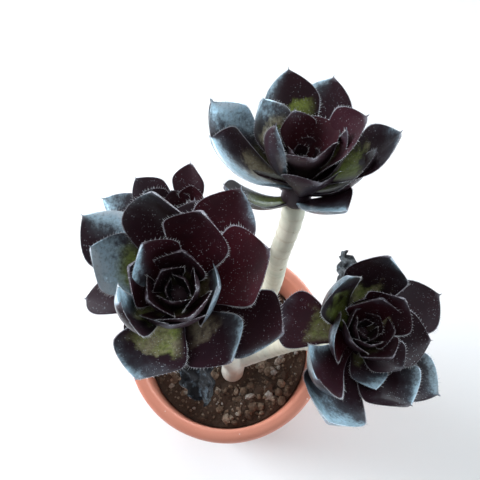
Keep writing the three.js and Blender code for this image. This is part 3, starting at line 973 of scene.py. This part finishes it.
class PLANT_OT_make_stem(Operator):
    """Builds the forked stem with its leaf scars"""

    bl_idname = "plant.make_stem"
    bl_label = "Stem"

    def execute(self, context):
        settings = context.scene.aeonium_stem
        limbs = stem_lines(settings.scar_spacing)
        shells = [tube(line, radius) for line, _, radius in limbs]
        starts = np.cumsum([0] + [len(points) for points, _ in shells])
        faces = [[corner + int(start) for corner in face]
                 for start, (_, part) in zip(starts, shells) for face in part]
        stem = mesh_piece("stem_bark", np.concatenate([points for points, _ in shells]), faces)
        skin = stem.modifiers.new("skin", "REMESH")
        skin.mode, skin.voxel_size, skin.use_smooth_shade = "VOXEL", STEM_GRAIN * MM, True
        soften = stem.modifiers.new("soften", "SMOOTH")
        soften.factor, soften.iterations = 0.5, 3
        apply_modifiers(stem)
        point_values(stem, "along", self.nearest_walked(stem, limbs))
        settle(stem, stem_finish(settings), "stem", "stem")
        return {"FINISHED"}

    @staticmethod
    def nearest_walked(stem, limbs):
        """For each point, the length walked along the nearest limb, in millimetres."""
        spots = np.empty(len(stem.data.vertices) * 3)
        stem.data.vertices.foreach_get("co", spots)
        spots = spots.reshape(-1, 3) / MM
        lines = np.concatenate([line for line, _, _ in limbs])
        walked = np.concatenate([length for _, length, _ in limbs])
        away = np.stack([((spots - place) ** 2).sum(1) for place in lines])
        return walked[away.argmin(0)]


# Leaves
def heart_leaves(heart):
    """The young leaves: each a golden angle on from the last, all sizes changing evenly."""
    share = np.linspace(0, 1, heart["count"])
    rise, length, width = (
        outer + (inner - outer) * share
        for outer, inner in (heart["rise"], heart["length"], heart["width"]))
    azimuth = heart["first"] + np.arange(heart["count"]) * np.degrees(GOLDEN_ANGLE)
    return [
        leaf(*row, HEART_CURL, cup=HEART_CUP, glow=tint, patch=tint, wax=tint)
        for tint, *row in zip(HEART_TINT * (1 - share), azimuth, rise, length, width)
    ]


def outline(u):
    """Half-width as a share of the greatest: it widens smoothly from a narrow foot to the
    shoulder and closes at a blunt angle, from which a fine point runs on a little further."""
    rising = np.clip(u / SHOULDER, 0, 1)
    falling = np.clip((u - SHOULDER) / (1 - SHOULDER), 0, 1)
    body = np.where(
        u <= SHOULDER,
        FOOT_SHARE + (1 - FOOT_SHARE) * rising**2 * (3 - 2 * rising),
        (1 - falling**1.7) ** 0.9,
    )
    point = POINT_SHARE * np.clip((TIP_REACH - u) / (TIP_REACH - POINT_START), 0, 1)
    return np.maximum(body, point)


def blade_points(leaves, tall, u, turn_round, ripple):
    """Places on the skins of leaves, and the ways to their left edges and their tips there.

    u runs along a leaf and turn_round round its section, from its right edge under the
    lower face to its left edge and back over the upper one. The middle line is an arc of a
    circle that starts at the core and rises by the leaf's curl. The section is a shallow
    trough, deeper by the square of the distance across, with a thick lens below it that
    thins towards the tip and the edges, a groove along the middle of the upper face, and
    waves of the edge that grow with the square of the distance across.
    """
    measures = np.array(leaves, float).T[:, :, None, None]
    azimuth, rise, length, width, curl, twist, foot, cup = measures[:8]
    curl = np.where(curl == 0, 1, curl)
    start, bend = np.radians(rise - curl / 2), np.radians(curl)
    angle = start + bend * u
    root = CORE_REACH - STEEP_REACH * np.maximum(0, rise)
    reach = root + length / bend * (np.sin(angle) - np.sin(start))
    height = tall * foot - length / bend * (np.cos(angle) - np.cos(start))

    azimuth = np.radians(azimuth)
    zero = np.zeros_like(azimuth)
    outward = np.stack([np.cos(azimuth), np.sin(azimuth), zero], -1)
    side = np.stack([-np.sin(azimuth), np.cos(azimuth), zero], -1)
    axis = np.array([0.0, 0, 1])
    up = -np.sin(angle)[..., None] * outward + np.cos(angle)[..., None] * axis
    ahead = np.cos(angle)[..., None] * outward + np.sin(angle)[..., None] * axis
    roll = (np.radians(twist) * u)[..., None]
    left = side * np.cos(roll) + up * np.sin(roll)
    normal = up * np.cos(roll) - side * np.sin(roll)

    across, face = -np.cos(turn_round), -np.sin(turn_round)
    half = width / 2 * outline(u)
    thick = (LEAF_THICK - TIP_THINNER * np.clip(u, 0, 1)) * np.minimum(1, width / FULL_WIDTH)
    thick = thick * np.minimum(1, half / THIN_HALF)
    swing = np.sin(2 * np.pi * (WAVE_COUNT * u + across * 0.2) + azimuth * 3.7)
    waves = ripple * width / RIPPLE_WIDTH * across**2 * u * swing
    groove = GROOVE_DEPTH * np.exp(-((across / GROOVE_WIDTH) ** 2)) * np.clip(1 - u, 0, 1) ** 0.5
    upper = -0.35 * thick * np.abs(across) ** 7 - groove
    lower = -thick * (1 - 0.65 * np.abs(across) ** 3)
    lift = cup * half * across**2 + waves + np.where(face > 0, upper, lower)
    points = (reach[..., None] * outward + height[..., None] * axis
              + (half * across)[..., None] * left + lift[..., None] * normal)
    return points, np.broadcast_to(left, points.shape), np.broadcast_to(ahead, points.shape)


def leaf_shells(leaves, tall, rows, ring, ripple):
    """Closed leaf shells in their head's own frame, with what their material reads."""
    count = len(leaves)
    u = np.concatenate([np.linspace(0, BODY_END, rows - len(TIP_STATIONS)), TIP_STATIONS])
    along, turn_round = u[None, :, None], turns(ring)[None, None]
    grid, _, _ = blade_points(leaves, tall, along, turn_round, ripple)
    first = grid[:, 0].mean(1)
    last, _, _ = blade_points(
        leaves, tall, np.full((1, 1, 1), TIP_REACH), np.full((1, 1, 1), np.pi / 2), 0)
    points = shell_points(grid, first, last[:, 0, 0])

    def spread(values, first_value, last_value):
        """Grid values, with one value for each of the two closing points, on every leaf."""
        flat = np.broadcast_to(values, (count, rows, ring)).reshape(count, -1)
        ends = np.broadcast_to([first_value, last_value], (count, 2))
        return np.concatenate([flat, ends], axis=1)

    table = columns(leaves)
    way = np.radians(table.way)[:, None, None]
    toward = np.cos(way) * (2 * along - 1) - np.sin(way) * np.cos(turn_round)
    values = {
        "along": spread(along, 0, TIP_REACH),
        "across": spread(-np.cos(turn_round), 0, 0),
        "upper": spread(np.sin(turn_round) <= 1e-6, 0, 1),
        "toward": spread(toward, -1, 1),
    }
    chance = np.modf(table.azimuth * 0.137 + table.length * 0.31)[0]
    steady = {"glow": table.glow, "patch": table.patch, "wax": table.wax, "ripe": table.ripe}
    for key, value in {**steady, "chance": chance}.items():
        values[key] = np.repeat(value, rows * ring + 2)
    return points, shell_faces(count, rows, ring), values


def core_shell(head):
    """The stem end that the leaves grow from: a slim turned bud, widest a little above its
    foot, with the neck's radius below and a point on top."""
    tall, neck = head["core"], head["neck"]
    profile = [[0.1, FIT_GAP], [neck, FIT_GAP], [neck + 1.6, 3], [neck + 1, tall * 0.45],
               [4.4, tall * 0.85], [0.2, tall * 0.96]]
    return turned(profile, 32)


def head_leaves(name):
    """All of a head's living leaves, and how far each belongs to the heart, from 0 to 1: a
    placed leaf by how steep it is, and a young one by its place in the spiral."""
    grown, young = PLACED_LEAVES[name], heart_leaves(HEARTS[name])
    steep = np.clip((columns(grown).rise - PLUM_RISE) / PLUM_SPAN, 0, 1)
    return grown + young, np.concatenate([steep, np.linspace(*PLUM_YOUNG, len(young))])


def edge_hairs(leaves, tall, settings):
    """Edge hairs: thin three-sided spikes on both edges of every leaf, from a third of its
    length to the tip, pointing out from the edge and a little ahead, with some scatter."""
    draw = np.random.default_rng(7)
    roots, outs = [], []
    for row in leaves:
        count = int(row.length * HAIRY_SHARE / HAIR_SPACING)
        u = np.linspace(HAIRS_FROM, HAIRS_TO, count)[None, :, None]
        for edge, way in ((0.0, -1), (np.pi, 1)):
            turn_round = np.full((1, 1, 1), edge)
            place, left, ahead = blade_points([row], tall, u, turn_round, settings.ripple)
            lean = 0.35 + 0.9 * np.clip((u[0] - 0.7) / 0.3, 0, 1) ** 2
            roots.append(place[0, :, 0])
            outs.append((way * left + lean[None, ..., None] * ahead)[0, :, 0])
    roots, outs = np.concatenate(roots), np.concatenate(outs)
    outs = unit(outs) + draw.normal(0, 0.22, outs.shape)
    length = settings.hair_length * draw.uniform(0.55, 1.15, (len(outs), 1))
    side = unit(np.cross(outs, HAIR_SLANT))
    other = np.cross(outs, side)
    base = roots - HAIR_ROOT * outs
    corners = [base + HAIR_RADIUS * (np.cos(angle) * side + np.sin(angle) * other)
               for angle in turns(3)]
    points = np.stack([*corners, roots + length * outs], 1)
    spike = [(0, 2, 1), (0, 1, 3), (1, 2, 3), (2, 0, 3)]
    return points, copied_faces(spike, points.shape[1], len(points))


def crumpled(spots, along):
    """Points pushed about by three crossed waves, each bent by another, more towards the tip."""
    x, y, z = spots.T
    waves = np.stack([
        np.sin(y * 0.9 + 2 * np.sin(z * 0.5)),
        np.sin(z * 1.1 + 2 * np.sin(x * 0.6)),
        np.sin(x * 0.8 + 2 * np.sin(y * 0.7)),
    ], -1)
    return spots + waves * np.clip(along, 0, 1)[:, None] * CRUMPLE


def placed(points, head):
    """Points moved from a head's own frame into the object's."""
    turn, foot = frame_of(head)
    return np.asarray(points).reshape(-1, 3) @ turn.T + foot


class PLANT_OT_make_leaves(Operator):
    """Builds the living leaves of every head on its core"""

    bl_idname = "plant.make_leaves"
    bl_label = "Leaves"

    def execute(self, context):
        settings = context.scene.aeonium_leaf
        finish = leaf_finish(settings)
        for name, head in HEADS.items():
            leaves, heart = head_leaves(name)
            points, faces, values = leaf_shells(
                leaves, head["core"], settings.rows, settings.ring, settings.ripple)
            per_leaf = points.shape[1]
            # Painted shade only where a leaf grows from over 0.4 of the core's height, fully from
            # 0.73
            deep = np.clip(3 * columns(leaves).foot - 1.2, 0, 1)
            values.update(heart=np.repeat(heart, per_leaf), deep=np.repeat(deep, per_leaf))
            core, core_faces = core_shell(head)
            start = len(leaves) * per_leaf
            everything = np.concatenate([points.reshape(-1, 3), core])
            faces = faces + [[corner + start for corner in face] for face in core_faces]
            piece = mesh_piece(f"leaves_{name}", placed(everything, head), faces)
            for key, value in values.items():
                point_values(piece, key, np.concatenate([value.ravel(), np.zeros(len(core))]))
            settle(piece, finish, "leaf", f"rosette_{name}")
        return {"FINISHED"}


class PLANT_OT_make_hairs(Operator):
    """Builds the fine pale hairs along the leaf edges"""

    bl_idname = "plant.make_hairs"
    bl_label = "Edge hairs"

    def execute(self, context):
        settings = context.scene.aeonium_leaf
        finish = hair_finish()
        for name, head in HEADS.items():
            leaves, _ = head_leaves(name)
            points, faces = edge_hairs(leaves, head["core"], settings)
            piece = mesh_piece(f"hairs_{name}", placed(points, head), faces, smooth=False)
            settle(piece, finish, "leaf")
        return {"FINISHED"}


class PLANT_OT_make_dry_leaves(Operator):
    """Builds the dry, crumpled leaves that still hang on"""

    bl_idname = "plant.make_dry_leaves"
    bl_label = "Dry leaves"

    def execute(self, context):
        finish = dry_finish()
        for name, leaves in DRY_LEAVES.items():
            head = HEADS[name]
            points, faces, values = leaf_shells(
                leaves, head["core"], DRY_ROWS, DRY_RING, DRY_RIPPLE)
            spots = crumpled(points[0], values["along"][0])
            piece = mesh_piece(f"dry_leaf_{name}", placed(spots, head), faces)
            settle(piece, finish, "leaf")
        return {"FINISHED"}


# Studio: floor, soft lights and the camera at the photograph's angle, with places in metres
FLOOR_REACH = 3.0
LIT_PLACE = (0.0, 0.0, 0.2)
WINDOW_PLACE, WINDOW_WIDTH, WINDOW_COLOUR = (-1.15, 0.4, 0.6), 0.7, (0.86, 0.94, 1.0)
TOP_PLACE, TOP_WIDTH, TOP_COLOUR = (-0.1, 0.1, 1.5), 1.6, (1.0, 0.99, 0.97)
SKY_DIM, SKY_BRIGHT = (0.02, 0.02, 0.021), (0.80, 0.93, 1.0)
BEHIND_RIGHT = (0.68, 0.73, 0)
CAMERA_PLACE, CAMERA_TILT = (0.0081, -0.1004, 0.4972), 24


def area_light(name, place, width, power, colour):
    """A square soft light at a place, turned to face the plant and unseen in its gloss."""
    lamp = bpy.data.lights.new(name, "AREA")
    lamp.size, lamp.energy, lamp.color = width, power, colour
    light = bpy.data.objects.new(name, lamp)
    bpy.context.scene.collection.objects.link(light)
    light.location = place
    way = np.array(LIT_PLACE) - np.array(place)
    light.rotation_euler = (
        np.arctan2(np.hypot(way[0], way[1]), -way[2]), 0, np.arctan2(-way[0], way[1]))
    light.visible_glossy = False


def surround(settings):
    """Light from all round: bright and bluish low down behind on the right, and dim
    overhead, so that steep leaves shine and level ones stay dark."""
    world = bpy.data.worlds.new("studio")
    world.use_nodes = True
    tree = world.node_tree
    way = Value(put(tree, "ShaderNodeTexCoord", {}), "Generated")
    facing = put(tree, "ShaderNodeVectorMath", {0: way, 1: BEHIND_RIGHT}, operation="DOT_PRODUCT")
    back = ramp(Value(facing, "Value"), -0.1, 0.85, 0.02, 1.0)
    share = ramp(upwards(way), 0.05, 0.45, 1.0, 0.0) * back
    sky = tree.nodes["Background"]
    feed(sky.inputs["Color"], blend(share, SKY_DIM, SKY_BRIGHT))
    feed(sky.inputs["Strength"], settings.horizon)
    bpy.context.scene.world = world


class PLANT_OT_make_studio(Operator):
    """Builds the floor, the lights and the camera"""

    bl_idname = "plant.make_studio"
    bl_label = "Studio"

    def execute(self, context):
        settings = context.scene.aeonium_studio
        scene = context.scene
        reach = FLOOR_REACH / MM
        corners = [(-reach, -reach, 0), (reach, -reach, 0), (reach, reach, 0), (-reach, reach, 0)]
        floor = mesh_piece("floor", corners, [(0, 1, 2, 3)], smooth=False)
        material, _ = new_material("plain floor")
        plain = {"Base Color": settings.floor_colour, "Roughness": 0.9}
        floor.data.materials.append(finished(material, plain))

        area_light("window", WINDOW_PLACE, WINDOW_WIDTH, settings.key_power, WINDOW_COLOUR)
        area_light("overhead", TOP_PLACE, TOP_WIDTH, settings.top_power, TOP_COLOUR)
        surround(settings)
        scene.view_settings.view_transform = "Standard"

        lens = bpy.data.cameras.new("camera")
        lens.lens, lens.sensor_width = settings.lens, 36
        lens.clip_start = 0.01
        camera = bpy.data.objects.new("camera", lens)
        scene.collection.objects.link(camera)
        camera.location = CAMERA_PLACE
        camera.rotation_euler = (np.radians(CAMERA_TILT), 0, 0)
        scene.camera = camera
        return {"FINISHED"}


OPERATORS = (
    PLANT_OT_make_studio, PLANT_OT_make_pot, PLANT_OT_make_soil, PLANT_OT_make_stem,
    PLANT_OT_make_leaves, PLANT_OT_make_hairs, PLANT_OT_make_dry_leaves,
)
SETTINGS = {
    "aeonium_pot": PotSettings,
    "aeonium_soil": SoilSettings,
    "aeonium_stem": StemSettings,
    "aeonium_leaf": LeafSettings,
    "aeonium_studio": StudioSettings,
}


class VIEW3D_PT_aeonium(Panel):
    """Lists the settings and the steps that build the plant"""

    bl_label = "Aeonium"
    bl_idname = "VIEW3D_PT_aeonium"
    bl_space_type = "VIEW_3D"
    bl_region_type = "UI"
    bl_category = "Aeonium"

    def draw(self, context):
        for name, group in SETTINGS.items():
            box = self.layout.box()
            for key in group.__annotations__:
                box.prop(getattr(context.scene, name), key)
        for operator in OPERATORS:
            self.layout.operator(operator.bl_idname)


def register():
    for kind in (*SETTINGS.values(), *OPERATORS, VIEW3D_PT_aeonium):
        bpy.utils.register_class(kind)
    for name, group in SETTINGS.items():
        setattr(bpy.types.Scene, name, PointerProperty(type=group))


def unregister():
    for name in SETTINGS:
        delattr(bpy.types.Scene, name)
    for kind in reversed((*SETTINGS.values(), *OPERATORS, VIEW3D_PT_aeonium)):
        bpy.utils.unregister_class(kind)


def main():
    register()
    bpy.ops.plant.make_studio()
    bpy.ops.plant.make_pot()
    bpy.ops.plant.make_soil()
    bpy.ops.plant.make_stem()
    bpy.ops.plant.make_leaves()
    bpy.ops.plant.make_hairs()
    bpy.ops.plant.make_dry_leaves()


if __name__ == "__main__":
    main()
